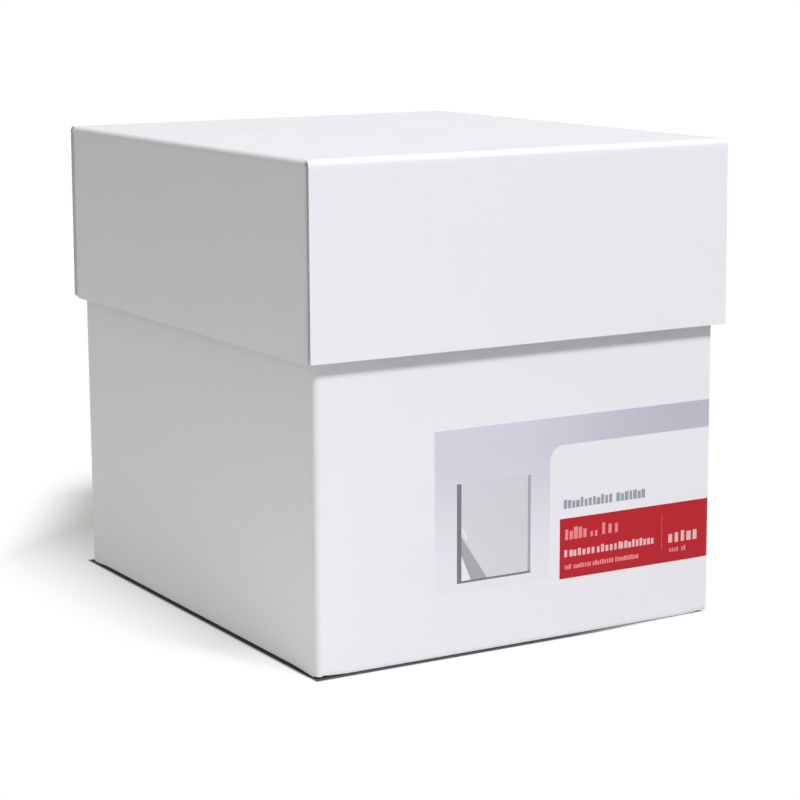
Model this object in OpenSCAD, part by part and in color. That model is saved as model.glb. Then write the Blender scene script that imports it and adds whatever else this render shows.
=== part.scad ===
// Lidded carton of continuous computer forms. The base is a half-slotted
// corrugated box, the lid is a glued corrugated tray that slides down over it,
// and between them lies one fan-folded web of forms with its feed holes.
// +Z is up, +X is to the right of someone who faces the printed side, and the
// printed side looks along -Y. The origin is the middle of the underside.

/* [Forms] */
// Width of a form over both feed strips
form_w = 241.3; // [200:0.1:330]
// Length of a form between two folds
form_l = 279.4; // [200:0.1:330]
// Number of forms in the web
form_count = 2500; // [1500:100:3500]
// Thickness of one form
form_t = 0.1; // [0.08:0.01:0.12]
// Forms that share one ridge at the folded ends
forms_per_ridge = 50; // [20:5:100]
// Depth of the groove between two ridges
groove_depth = 0.8; // [0.4:0.1:1.5]
// Half the width of that groove at its mouth
groove_half = 0.3; // [0.2:0.05:0.5]
// Width of the tear-off feed strip at each side
strip_w = 12.7; // [11:0.1:16]
// Diameter of a feed hole
feed_hole_d = 4; // [3:0.1:5]
// Distance from one feed hole to the next
feed_pitch = 12.7; // [10:0.1:16]
// Distance from a form's side edge to the line of feed holes
feed_inset = 6; // [4.5:0.1:7]
// Width of the line of cuts along which a feed strip tears off
tear_w = 0.3; // [0.2:0.05:0.6]

/* [Board] */
// Thickness of the corrugated board
board_t = 3; // [2:0.1:5]
// Radius on the inner side of a fold
fold_r = 0.5; // [0.3:0.1:1.5]
// How much thinner a flap is pressed where it is glued
glued_press = 1; // [0:0.1:1.5]
// How far a cut end stays behind the face that it meets
end_setback = 0.5; // [0.2:0.1:1.5]
// How far a glued flap is trimmed back at its top and bottom
flap_trim = 3; // [1:0.5:8]

/* [Base] */
// Room between the forms and each side wall
side_room = 2.5; // [1:0.1:8]
// Room between the folded ends of the forms and the glued lap
end_room = 0.5; // [0.3:0.1:6]
// Room between the top form and the lid
headroom = 8.5; // [5:0.5:20]
// Width of the glued lap that closes the base at its back right corner
lap_w = 35; // [25:1:50]
// Open space between the two inner bottom flaps
inner_gap = 38; // [4:1:120]
// Open seam where the two outer bottom flaps meet
seam_w = 1; // [0.5:0.1:4]

/* [Lid] */
// Height of the lid from its rim to its top
lid_depth = 103; // [60:1:140]
// Room between the base and each side wall of the lid
lid_side_room = 2; // [1:0.1:5]
// Room between the base and the tabs on the lid's end walls
lid_end_room = 1; // [0.5:0.1:4]
// Width of the tab glued inside each corner of the lid
tab_w = 40; // [25:1:60]

/* [Print] */
// Thickness of the printed ink
ink_t = 0.1; // [0.1:0.05:0.3]
// How far the print runs round the corner, onto the right side
print_wrap = 40; // [10:1:80]
// Height of the bottom of the grey field
grey_low = 34; // [20:1:36]
// Height of the top of the grey field
grey_high = 122.5; // [115:0.5:140]
// Width of the grey field to the left of the bare panel
grey_side = 72.5; // [60:0.5:90]
// Height of the grey band over the bare panel
grey_band = 15.5; // [6:0.5:18]
// Distance from the right corner to the left edge of the bare panel
panel_reach = 108.5; // [90:0.5:120]
// Corner radius of the bare panel
panel_r = 8; // [3:0.5:14]
// Bare border between the panel's left edge and the red band
red_inset = 6.5; // [1:0.5:8]
// Height of the bottom of the red band
red_low = 32.5; // [24:0.5:36]
// Height of the red band itself
red_h = 33.5; // [25:0.5:36]
// Distance from the red band up to the title bars
title_rise = 5; // [3:0.5:8]
// Height of the title bars
title_h = 3.5; // [2:0.5:6]
// Grey border to the left of the picture
picture_left = 13.5; // [6:0.5:20]
// Grey border between the picture and the bare panel
picture_right = 12.5; // [6:0.5:20]
// Grey border below the picture
picture_rise = 5; // [3:0.5:12]
// Height of the picture
picture_h = 54; // [45:0.5:60]
// Width of the shaded edge at the left of the picture
shade_left = 2.8; // [1:0.1:4]
// Width of the shaded edge at the right of the picture
shade_right = 1.8; // [1:0.1:4]
// Height of the shaded edge along the bottom of the picture
shade_low = 1.2; // [0.6:0.1:3]
// How far the turned-up corner reaches up the picture's left edge
curl_up = 24; // [18:0.5:30]
// How far the turned-up corner reaches along the picture's lower edge
curl_along = 16; // [12:0.5:22]
// Width of the shaded band across the turned-up corner, along either edge
curl_band = 10; // [4:0.5:11]

/* [Hidden] */
$fn = 64;
eps = 0.01;
over = 1;

glued_t = board_t - glued_press;
stack_h = form_count * form_t;
stack_z = 2 * board_t;
ridge_h = forms_per_ridge * form_t;
ridge_count = floor(stack_h / ridge_h);
fold_out = fold_r + board_t;

base_w = form_w + 2 * (side_room + board_t);
base_d = form_l + 2 * (end_room + glued_t + board_t);
base_h = stack_z + stack_h + headroom;
inner_flap = (base_d - inner_gap) / 2;

lid_w = base_w + 2 * (lid_side_room + board_t);
lid_d = base_d + 2 * (lid_end_room + glued_t + board_t);
lid_top = base_h + board_t;
lid_rim = lid_top - lid_depth;

grey_reach = panel_reach + grey_side;
panel_high = grey_high - grey_band;
red_reach = panel_reach - red_inset;
red_high = red_low + red_h;
picture_reach = grey_reach - picture_left;
picture_w = grey_side - picture_left - picture_right;
picture_low = grey_low + picture_rise;

white = [0.93, 0.93, 0.945];
forms_white = [0.95, 0.95, 0.94];
field_grey = [0.8, 0.8, 0.84];
band_red = [0.75, 0.1, 0.14];
title_grey = [0.55, 0.56, 0.6];
sheet_grey = [0.83, 0.83, 0.84];
shade_grey = [0.58, 0.58, 0.6];

// One quarter of a fold seen end on: it turns from a board that stands to the
// left of the centre to a board that lies below it.
module fold_section(t) {
    intersection() {
        difference() {
            circle(r = fold_out);
            circle(r = fold_out - t);
        }
        translate([-fold_out, -fold_out]) square(fold_out);
    }
}

// A wall with a flap folded in under it, seen end on. The outer faces of the
// two legs lie on the axes.
module wall_and_flap_section(wall, flap) {
    translate([fold_out, fold_out]) fold_section(board_t);
    translate([0, fold_out]) square([board_t, wall - fold_out]);
    translate([fold_out, 0]) square([flap - fold_out, board_t]);
}

// Lays a section out along Y, between two places, with its left edge at -X.
module along_y(from, to) {
    translate([0, to, 0]) rotate([90, 0, 0]) linear_extrude(to - from) children();
}

// Lays a section out along X, centred, with its left edge towards -Y.
module along_x(length) {
    translate([-length / 2, 0, 0]) rotate([90, 0, 90]) linear_extrude(length) children();
}

// Seen from above: a fold that turns a left side wall inwards at its front end,
// and the flap behind the front wall that it leads to. The fold's outer faces
// lie on the axes.
module glued_flap_section(length) {
    translate([fold_out, fold_out]) fold_section(glued_t);
    translate([fold_out, 0]) square([length - fold_out, glued_t]);
}

// The left side wall of the base with its outer bottom flap. back_gap is how
// far the wall ends before the back face.
module base_side(back_gap) {
    flap = (base_w - seam_w) / 2;
    translate([-base_w / 2, 0, 0])
        along_y(-base_d / 2 + fold_out, base_d / 2 - back_gap)
            wall_and_flap_section(base_h, flap);
}

// The front wall of the base with its inner bottom flap, which lies on the
// outer ones.
module base_end() {
    translate([0, -base_d / 2, board_t])
        along_x(base_w - 2 * fold_out)
            wall_and_flap_section(base_h - board_t, inner_flap);
}

// The upright fold at the front left corner of the base. It ends above the
// slots that part the bottom flaps.
module base_corner() {
    low = board_t + fold_out;
    translate([-base_w / 2 + fold_out, -base_d / 2 + fold_out, low])
        linear_extrude(base_h - low) fold_section(board_t);
}

// The glued corner: the right side wall turns in behind the back wall, whose
// cut end stays in sight.
module base_joint() {
    low = board_t + fold_out;
    turn_y = base_d / 2 - board_t;
    mirror([1, 0, 0]) mirror([0, 1, 0]) {
        translate([-base_w / 2, -turn_y, low])
            linear_extrude(base_h - low) glued_flap_section(fold_out + eps);
        translate([-base_w / 2, -turn_y, low + flap_trim])
            linear_extrude(base_h - low - 2 * flap_trim)
                glued_flap_section(lap_w);
    }
    translate([base_w / 2 - fold_out - eps, turn_y, low])
        cube([fold_out + eps - end_setback, board_t, base_h - low]);
}

module carton_base() {
    color(white) {
        base_side(fold_out);
        mirror([1, 0, 0]) base_side(board_t + fold_out);
        base_end();
        mirror([0, 1, 0]) base_end();
        base_corner();
        mirror([1, 0, 0]) base_corner();
        mirror([0, 1, 0]) base_corner();
        base_joint();
    }
}

// The lid's front wall, with the fold that joins it to the top.
module lid_end() {
    translate([0, -lid_d / 2, lid_top]) mirror([0, 0, 1])
        along_x(lid_w - 2 * end_setback)
            wall_and_flap_section(lid_depth, fold_out + eps);
}

// The lid's left side wall. The fold to the top runs on past the wall, up to
// the end walls.
module lid_side() {
    turn_y = lid_d / 2 - board_t;
    translate([-lid_w / 2, 0, lid_top]) mirror([0, 0, 1]) {
        along_y(-turn_y + fold_out, turn_y - fold_out)
            wall_and_flap_section(lid_depth, fold_out + eps);
        along_y(-turn_y, turn_y)
            wall_and_flap_section(fold_out + eps, fold_out + eps);
    }
}

// The tab at the lid's front left corner, glued behind the front wall.
module lid_tab() {
    translate([-lid_w / 2, -lid_d / 2 + board_t, lid_rim]) {
        linear_extrude(lid_depth - fold_out) glued_flap_section(fold_out + eps);
        translate([0, 0, flap_trim])
            linear_extrude(lid_depth - board_t - 2 * flap_trim)
                glued_flap_section(tab_w);
    }
}

module carton_lid() {
    color(white) {
        translate([-lid_w / 2 + fold_out, -lid_d / 2 + fold_out, lid_top - board_t])
            cube([lid_w - 2 * fold_out, lid_d - 2 * fold_out, board_t]);
        for (y = [0, 1]) mirror([0, y, 0]) lid_end();
        for (x = [0, 1]) mirror([x, 0, 0]) {
            lid_side();
            for (y = [0, 1]) mirror([0, y, 0]) lid_tab();
        }
    }
}

// Points up one folded end of the stack. Every ridge is a bundle of forms, and
// start shifts the ridges, because folds at one end lie between those at the other.
function ridge_points(start) = [
    for (i = [1 : ridge_count - 1])
        for (p = [[0, -groove_half], [groove_depth, 0], [0, groove_half]])
            [p[0], (i - start) * ridge_h + p[1]]
];

// The stack seen from its side: cut sheets above and below, folds at both ends.
module stack_section() {
    front = [for (p = ridge_points(0)) [-form_l / 2 + p[0], p[1]]];
    back = [for (p = ridge_points(0.5)) [form_l / 2 - p[0], p[1]]];
    polygon(concat(
        [[-form_l / 2, 0]], front, [[-form_l / 2, stack_h], [form_l / 2, stack_h]],
        [for (i = [len(back) - 1 : -1 : 0]) back[i]], [[form_l / 2, 0]]));
}

module feed_holes() {
    count = floor(form_l / feed_pitch);
    for (i = [0 : count - 1], side = [-1, 1])
        translate([side * (form_w / 2 - feed_inset),
                   (i - (count - 1) / 2) * feed_pitch, -over])
            cylinder(d = feed_hole_d, h = stack_h + 2 * over);
}

module form_stack() {
    color(forms_white) translate([0, 0, stack_z]) difference() {
        along_x(form_w) stack_section();
        feed_holes();
        for (side = [-1, 1])
            translate([side * (form_w / 2 - strip_w) - tear_w / 2,
                       -form_l / 2 - over, stack_h - form_t])
                cube([tear_w, form_l + 2 * over, form_t + over]);
    }
}

// Ink on the printed side. Its outline is drawn with X measured from the right
// corner and Y as the height.
module on_front() {
    translate([base_w / 2, -base_d / 2, 0]) rotate([90, 0, 0])
        linear_extrude(ink_t) children();
}

// A strip of ink that goes round the front right corner, onto the right side.
module round_corner(low, high) {
    translate([base_w / 2 - fold_out, -base_d / 2 + fold_out, low])
        linear_extrude(high - low) {
            intersection() {
                difference() {
                    circle(r = fold_out + ink_t);
                    circle(r = fold_out);
                }
                translate([0, -fold_out - ink_t]) square(fold_out + ink_t);
            }
            translate([fold_out, 0]) square([ink_t, print_wrap]);
        }
}

// A rectangle between two distances left of the right corner and two heights.
module field(from, to, low, high) {
    translate([-from, low]) square([from - to, high - low]);
}

module picture_outline() {
    field(picture_reach, picture_reach - picture_w, picture_low, picture_low + picture_h);
}

module grey_field() {
    color(field_grey) {
        on_front() difference() {
            field(grey_reach, fold_out, grey_low, grey_high);
            field(panel_reach - panel_r, -over, grey_low - over, panel_high);
            field(panel_reach, panel_reach - 2 * panel_r, grey_low - over,
                  panel_high - panel_r);
            translate([-panel_reach + panel_r, panel_high - panel_r]) circle(r = panel_r);
            picture_outline();
        }
        round_corner(panel_high, grey_high);
    }
}

// Bars that stand where a carton has its lines of small print, in hundredths of
// the red band's length and height: left end, right end, lower and upper edge.
small_print = [
    [4, 19, 65, 83], [21, 25, 65, 77], [28, 41, 65, 83],
    [4, 15, 38, 49], [17, 65, 38, 49],
    [4, 30, 15, 25], [32, 56, 15, 25],
    [77, 95, 29, 49], [77, 88, 12, 20]
];
title_ends = [[3, 35], [39, 58]];

// A bar over the red band's length, between two hundredths of it.
module bar(ends, low, high) {
    step = (red_reach - fold_out) / 100;
    field(red_reach - ends[0] * step, red_reach - ends[1] * step, low, high);
}

module red_band() {
    step = red_h / 100;
    color(band_red) {
        on_front() difference() {
            field(red_reach, fold_out, red_low, red_high);
            for (b = small_print) bar(b, red_low + b[2] * step, red_low + b[3] * step);
        }
        round_corner(red_low, red_high);
    }
}

module title_bars() {
    low = red_high + title_rise;
    color(title_grey) on_front() for (e = title_ends) bar(e, low, low + title_h);
}

// The two edges of the picture's turned-up corner cross it at a slant. reach is
// how far that line lies inside the corner's outer edge.
module corner_piece(reach) {
    left = -picture_reach + shade_left;
    low = picture_low + shade_low;
    polygon([[left, low], [left + curl_along - reach, low], [left, low + curl_up - reach]]);
}

module picture_sheet() {
    color(sheet_grey) on_front() difference() {
        field(picture_reach - shade_left, picture_reach - picture_w + shade_right,
              picture_low + shade_low, picture_low + picture_h);
        corner_piece(0);
    }
}

module picture_shade() {
    color(shade_grey) on_front() {
        difference() {
            picture_outline();
            field(picture_reach - shade_left, picture_reach - picture_w + shade_right,
                  picture_low + shade_low, picture_low + picture_h + over);
        }
        difference() {
            corner_piece(0);
            corner_piece(curl_band);
        }
    }
}

carton_base();
carton_lid();
form_stack();
grey_field();
red_band();
title_bars();
picture_sheet();
picture_shade();
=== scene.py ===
# %% [markdown]
# # A lidded carton of continuous forms
# A white two-piece carton stands closed on a pale floor. Its base is a folded
# box of corrugated board, its lid is a folded tray, and inside lies one web of
# computer forms, fan-folded into a block. The CAD model is loaded first as a
# fixed frame, so that every piece made here lands in its true place.

# %% Load the frame
import math

import bmesh
import bpy
from mathutils import Matrix, Vector


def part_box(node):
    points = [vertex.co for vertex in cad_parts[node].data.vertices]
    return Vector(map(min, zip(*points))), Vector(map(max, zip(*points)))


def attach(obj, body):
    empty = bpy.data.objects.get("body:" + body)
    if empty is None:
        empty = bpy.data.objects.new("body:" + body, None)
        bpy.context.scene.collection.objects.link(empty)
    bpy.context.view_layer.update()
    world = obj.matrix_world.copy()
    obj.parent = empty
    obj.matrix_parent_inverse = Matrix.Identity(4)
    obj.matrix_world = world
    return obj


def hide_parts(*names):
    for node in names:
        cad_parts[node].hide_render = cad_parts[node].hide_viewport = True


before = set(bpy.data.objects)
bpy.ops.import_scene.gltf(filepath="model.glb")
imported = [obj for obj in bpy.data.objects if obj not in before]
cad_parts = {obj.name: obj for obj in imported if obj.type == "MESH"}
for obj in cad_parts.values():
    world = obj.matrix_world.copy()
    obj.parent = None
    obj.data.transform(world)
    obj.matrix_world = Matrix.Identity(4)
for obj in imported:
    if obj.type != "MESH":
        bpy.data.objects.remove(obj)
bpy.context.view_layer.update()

# %% [markdown]
# ## Sizes
# The pieces take their sizes from the boxes of the CAD nodes, and from the few
# values that a carton maker would write on the drawing: how thick the board and
# its liners are, how its folds are rounded, how thin a flap is pressed where it
# is glued, how far it stays short of an edge, how deep the flutes lie open at an
# edge, and how far a cut end stays short of its corner.

# %% Sizes in metres
MM = 0.001
BOARD = 3.0 * MM
LINER = 0.35 * MM
FOLD = 3.5 * MM
GLUED = 2.0 * MM
TRIM = 3.0 * MM
BAND = 5.0 * MM
CUT_IN = 0.5 * MM

BASE_X, BASE_Y, BASE_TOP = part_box("carton_base")[1]
(_, _, LID_RIM), (LID_X, LID_Y, LID_TOP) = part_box("carton_lid")
(_, _, FORM_LOW), (FORM_X, FORM_Y, FORM_TOP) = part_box("form_stack")
print("base, mm:", [round(2 * BASE_X / MM, 1), round(2 * BASE_Y / MM, 1), round(BASE_TOP / MM, 1)])
print("lid, mm:", [round(2 * LID_X / MM, 1), round(2 * LID_Y / MM, 1)],
      "rim at", round(LID_RIM / MM, 1))

# %% [markdown]
# ## Writing node trees as sums
# A material or a Geometry Nodes tree is easier to read as an expression than as
# a list of links. `Wire` wraps one output socket, and its operators add the
# Math nodes. `Graph.add` makes any other node from its type, its settings and
# the values or wires of its sockets.

# %% Wires and graphs
class Wire:
    """One output of a node, which can stand in a sum."""

    def __init__(self, graph, socket):
        self.graph, self.socket = graph, socket

    def output(self, name):
        return Wire(self.graph, self.socket.node.outputs[name])

    def math(self, operation, first, second=0.0):
        return self.graph.math(operation, first, second)

    def __add__(self, other):
        return self.math("ADD", self, other)

    def __sub__(self, other):
        return self.math("SUBTRACT", self, other)

    def __mul__(self, other):
        return self.math("MULTIPLY", self, other)

    def __truediv__(self, other):
        return self.math("DIVIDE", self, other)

    def __rsub__(self, other):
        return self.math("SUBTRACT", other, self)

    __radd__, __rmul__ = __add__, __mul__

    def sine(self):
        return self.math("SINE", self)

    def size(self):
        return self.math("ABSOLUTE", self)


class Graph:
    """A node tree that is filled by calls."""

    def __init__(self, tree):
        self.tree = tree

    def add(self, kind, settings=None, values=None, out=0):
        """A new node, with its settings and then the values or wires of its sockets."""
        node = self.tree.nodes.new(kind)
        for name, value in (settings or {}).items():
            setattr(node, name, value)
        for name, value in (values or {}).items():
            if isinstance(value, Wire):
                self.tree.links.new(value.socket, node.inputs[name])
            else:
                node.inputs[name].default_value = value
        return Wire(self, node.outputs[out])

    def math(self, operation, first, second=0.0):
        return self.add("ShaderNodeMath", {"operation": operation}, {0: first, 1: second})

    def step(self, value, low, high, start=0.0, end=1.0):
        """Goes smoothly from start to end while value goes from low to high."""
        return self.add("ShaderNodeMapRange", {"interpolation_type": "SMOOTHSTEP"},
                        {"Value": value, "From Min": low, "From Max": high,
                         "To Min": start, "To Max": end})

    def mix(self, share, first, second):
        """A colour between two, each a wire or three numbers."""
        def colour(value):
            return value if isinstance(value, Wire) else (*value, 1)
        return self.add("ShaderNodeMix", {"data_type": "RGBA"},
                        {0: share, 6: colour(first), 7: colour(second)}, out=2)

    def noise(self, place, scale, detail, rough):
        return self.add("ShaderNodeTexNoise", None,
                        {"Vector": place, "Scale": scale, "Detail": detail, "Roughness": rough})

    def place(self, kind="Object"):
        return self.add("ShaderNodeTexCoord").output(kind)

    def axes(self, vector):
        """The x, y and z of a vector."""
        split = self.add("ShaderNodeSeparateXYZ", None, {0: vector})
        return split, split.output("Y"), split.output("Z")

    def join(self, node, wires):
        """Links wires to the named inputs of a node that is there already."""
        for name, wire in wires.items():
            self.tree.links.new(wire.socket, node.inputs[name])


print("helpers for node trees are ready")

# %% [markdown]
# ## Finishes
# White carton board is clay-coated paper over flutes. Close up it has a cloudy
# tone, fine fibres, and a faint ribbing where the liner sinks between the
# flutes. All three come from noise and one sine wave: the wave reads the
# attribute `rib`, which is the distance across the flutes on the flat blank, so
# the ribs follow every fold. The ribs and fibres go to a Bump node, and only
# very small changes go to the colour, because the real board is clean.

# %% Paper and board finishes
FLUTE_PITCH = 6.5 * MM
CLOUD_SCALE, FIBRE_SCALE = 26, 1400


def finish(name, colour, rough, cloud=0.02, fibre=0.02, bump=0.02, ribs=0.0, shine=0.35):
    """A paper surface. cloud and fibre are shares of the colour, bump and ribs are in mm."""
    material = bpy.data.materials.new(name)
    material.use_nodes = True
    tree = material.node_tree
    shader = tree.nodes["Principled BSDF"]
    g = Graph(tree)
    place = g.place()
    clouds = g.noise(place, CLOUD_SCALE, 3, 0.55)
    fibres = g.noise(place, FIBRE_SCALE, 2, 0.6)
    tone = 1 + (clouds - 0.5) * cloud * 2 + (fibres - 0.5) * fibre * 2
    shade = g.add("ShaderNodeVectorMath", {"operation": "SCALE"}, {0: colour, "Scale": tone})
    height = fibres * bump * MM
    if ribs:
        rib = g.add("ShaderNodeAttribute", {"attribute_name": "rib"}).output("Fac")
        wave = (rib * (2 * math.pi / FLUTE_PITCH)).sine()
        height = height + wave * (ribs * MM) * g.step(clouds, 0.35, 0.65, 0.4, 1.0)
    bumped = g.add("ShaderNodeBump", None, {"Height": height, "Strength": 1.0, "Distance": 1.0})
    g.join(shader, {"Base Color": shade, "Normal": bumped,
                    "Roughness": g.step(clouds, 0.3, 0.7, rough - 0.04, rough + 0.04)})
    shader.inputs["Specular IOR Level"].default_value = shine
    return material


def open_finish(material):
    """The graph, the shader and the colour of a finish, so that more can be added."""
    g = Graph(material.node_tree)
    shader = material.node_tree.nodes["Principled BSDF"]
    return g, shader, Wire(g, shader.inputs["Base Color"].links[0].from_socket)


BASE_COLOUR = (0.856, 0.842, 0.868)
LID_WHITE = finish("lid_board_white", (0.846, 0.856, 0.878), 0.52, 0.008, 0.012, 0.012, 0.012)
BASE_WHITE = finish("base_board_white", BASE_COLOUR, 0.54, 0.008, 0.012, 0.012, 0.016)
INNER_WHITE = finish("inner_liner", (0.78, 0.775, 0.775), 0.8, 0.03, 0.05, 0.03, 0.02, 0.2)
FLUTE_PAPER = finish("flute_paper", (0.80, 0.80, 0.81), 0.85, 0.04, 0.08, 0.03, 0.0, 0.15)
print("board finishes:", [m.name for m in (LID_WHITE, BASE_WHITE, INNER_WHITE, FLUTE_PAPER)])

# %% [markdown]
# ## Folded board
# A carton is a flat sheet folded along straight lines, so it can be described
# by its outer face alone: a grid of points for each panel and each fold, with
# the way inwards and the board's thickness at each point. `Sheet` joins such
# patches where their points meet. From it, `shell` cuts a closed layer between
# two depths: the outer liner, the inner liner, and the fluted core between
# them. The core stops a few millimetres short of each cut edge, and that leaves
# the open slot between two liners that a real edge shows.

# %% Sheets of board
class Sheet:
    """The outer face of a folded board."""

    def __init__(self):
        self.at, self.inward, self.thick, self.rib, self.cells = [], [], [], [], []
        self.known = {}

    def point(self, at, inward, thick, rib):
        key = tuple(round(c * 1e7) for c in at)
        if key not in self.known:
            self.known[key] = len(self.at)
            self.at.append(Vector(at))
            self.inward.append(Vector(inward).normalized())
            self.thick.append(thick)
            self.rib.append(rib)
        return self.known[key]

    def patch(self, us, vs, place, cut=""):
        """A grid of cells. cut names the sides that are cut edges: u0 u1 v0 v1."""
        rows = [[self.point(*place(u, v)) for v in vs] for u in us]
        last_u, last_v = len(us) - 2, len(vs) - 2
        for i in range(len(us) - 1):
            for j in range(len(vs) - 1):
                cell = [rows[i][j], rows[i + 1][j], rows[i + 1][j + 1], rows[i][j + 1]]
                a, b, c = (self.at[k] for k in cell[:3])
                if (b - a).cross(c - b).dot(self.inward[cell[0]]) > 0:
                    cell.reverse()
                at_cut = ((i == 0 and "u0" in cut) or (i == last_u and "u1" in cut)
                          or (j == 0 and "v0" in cut) or (j == last_v and "v1" in cut))
                self.cells.append((cell, at_cut))


print("a sheet keeps its points, ways inwards, thicknesses, runs of flutes and cells")

# %% Shells and pieces
def shell(sheet, cells, outer, inner, shape, points, faces, ribs):
    """Adds the closed layer between the depths outer(t) and inner(t), for a board t thick."""
    first = len(points)
    used = sorted({k for cell in cells for k in cell})
    number = {k: i for i, k in enumerate(used)}
    for depth in (outer, inner):
        for k in used:
            points.append(shape(sheet.at[k] + sheet.inward[k] * depth(sheet.thick[k])))
            ribs.append(sheet.rib[k])
    below = first + len(used)
    sides = {}
    for cell in cells:
        ring = [number[k] for k in cell]
        faces.append([first + k for k in ring])
        faces.append([below + k for k in reversed(ring)])
        for a, b in zip(ring, ring[1:] + ring[:1]):
            sides[(a, b)] = True
    for a, b in sides:
        if (b, a) not in sides:
            faces.append([first + b, first + a, below + a, below + b])


def new_piece(name, points, edges=(), faces=()):
    """An object at the origin, with its place in its mesh."""
    mesh = bpy.data.meshes.new(name)
    mesh.from_pydata(points, list(edges), list(faces))
    piece = bpy.data.objects.new(name, mesh)
    bpy.context.scene.collection.objects.link(piece)
    return piece


SHARP_FROM = math.radians(35)


def mesh_piece(name, points, faces, materials, slots=None, ribs=None):
    """A piece that is smooth but for its sharp edges."""
    piece = new_piece(name, points, (), faces)
    mesh = piece.data
    for material in materials:
        mesh.materials.append(material)
    if slots:
        mesh.polygons.foreach_set("material_index", slots)
    if ribs:
        mesh.attributes.new("rib", "FLOAT", "POINT").data.foreach_set("value", ribs)
    mesh.shade_smooth()
    mesh.set_sharp_from_angle(angle=SHARP_FROM)
    mesh.validate()
    return piece


def faces_out(mesh, shape=lambda p: p):
    """Bends a closed mesh by shape and turns its faces outwards."""
    work = bmesh.new()
    work.from_mesh(mesh)
    for vertex in work.verts:
        vertex.co = shape(vertex.co)
    bmesh.ops.recalc_face_normals(work, faces=work.faces)
    work.to_mesh(mesh)
    work.free()


def board_piece(name, sheet, white, shape):
    """The three layers of a folded corrugated board as one piece."""
    points, faces, ribs, slots = [], [], [], []
    everywhere = [cell for cell, at_cut in sheet.cells]
    inside = [cell for cell, at_cut in sheet.cells if not at_cut]
    for slot, (cells, outer, inner) in enumerate((
            (everywhere, lambda t: 0.0, lambda t: LINER),
            (everywhere, lambda t: t - LINER, lambda t: t),
            (inside, lambda t: LINER, lambda t: t - LINER))):
        shell(sheet, cells, outer, inner, shape, points, faces, ribs)
        slots += [slot] * (len(faces) - len(slots))
    piece = mesh_piece(name, points, faces, [white, INNER_WHITE, FLUTE_PAPER], slots, ribs)
    print(name, "faces:", len(faces))
    return piece


print("a piece is smooth where its faces turn by less than", round(math.degrees(SHARP_FROM)), "degrees")

# %% Stops, ramps and folds
def spread(low, high, size, marks=()):
    """Even stops from low to high, about size apart, that also stop at each mark."""
    stops = sorted({low, high, *[m for m in marks if low < m < high]})
    result = [stops[0]]
    for a, b in zip(stops, stops[1:]):
        count = max(1, round((b - a) / size))
        result += [a + (b - a) * i / count for i in range(1, count)] + [b]
    return result


def between(stops, low, high):
    """The stops that lie from low to high."""
    return [stop for stop in stops if low - 1e-9 <= stop <= high + 1e-9]


def ramp(value, low, high):
    """Goes smoothly from 0 to 1 while value goes from low to high."""
    t = min(1.0, max(0.0, (value - low) / (high - low)))
    return t * t * (3 - 2 * t)


def folded(middle, out, rib, thick=BOARD):
    """The point of a fold that lies on the side out of its middle line, with its run of flutes."""
    return [m + FOLD * o for m, o in zip(middle, out)], [-o for o in out], thick, rib


QUARTER = [math.radians(a) for a in range(0, 91, 15)]
CELL = 9 * MM
print("a fold has", len(QUARTER) - 1, "steps, a panel's cells are about", CELL / MM, "mm")

# %% [markdown]
# ## The lid
# The lid's blank is a cross. Its front and back walls run to the carton's
# corners and show their cut ends there. Its side walls end in tabs that turn in
# behind them and are glued. The front and back walls are a little shorter than
# the side walls. In use the rim spreads a little and the top sinks a little
# between its edges, so the sheet is bent by less than a millimetre after
# folding, and always inwards from the CAD box.

# %% The lid's sheet
LID_SPREAD = 0.45 * MM
LID_BOW = 0.3 * MM
LID_SAG = 0.6 * MM
LID_SHORT = 0.65 * MM
TAB_LONG = 37 * MM


def lid_shape(p):
    """A point of the lid after use: two shorter walls, all of them bowed, and a sunken top."""
    x, y, z = p
    up = (z - LID_RIM) / (LID_TOP - LID_RIM)
    near_x, near_y = x / LID_X, y / LID_Y
    z += LID_SHORT * (1 - up) * ramp(abs(y), LID_Y - BOARD - FOLD, LID_Y - BOARD)
    x -= near_x * (LID_SPREAD * up + LID_BOW * near_y ** 2)
    y -= near_y * (LID_SPREAD * up + LID_BOW * near_x ** 2)
    z -= LID_SAG * max(0.0, 1 - near_x ** 2) * max(0.0, 1 - near_y ** 2)
    return Vector((x, y, z))


lid = Sheet()
flat_x, flat_y = LID_X - FOLD, LID_Y - FOLD
end_x = LID_X - CUT_IN
turn_y = LID_Y - BOARD
side_y = turn_y - FOLD
fold_z = LID_TOP - FOLD
top_xs = spread(-flat_x, flat_x, CELL)
end_xs = [-end_x] + top_xs + [end_x]
top_ys = spread(-flat_y, flat_y, CELL, (-side_y, side_y))
side_ys = between(top_ys, -side_y, side_y)
wall_zs = spread(LID_RIM, fold_z, CELL, (LID_RIM + TRIM, LID_RIM + BAND, fold_z - TRIM))
tab_zs = between(wall_zs, LID_RIM + TRIM, fold_z - TRIM)
fold_run = FOLD * math.pi / 2

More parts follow.
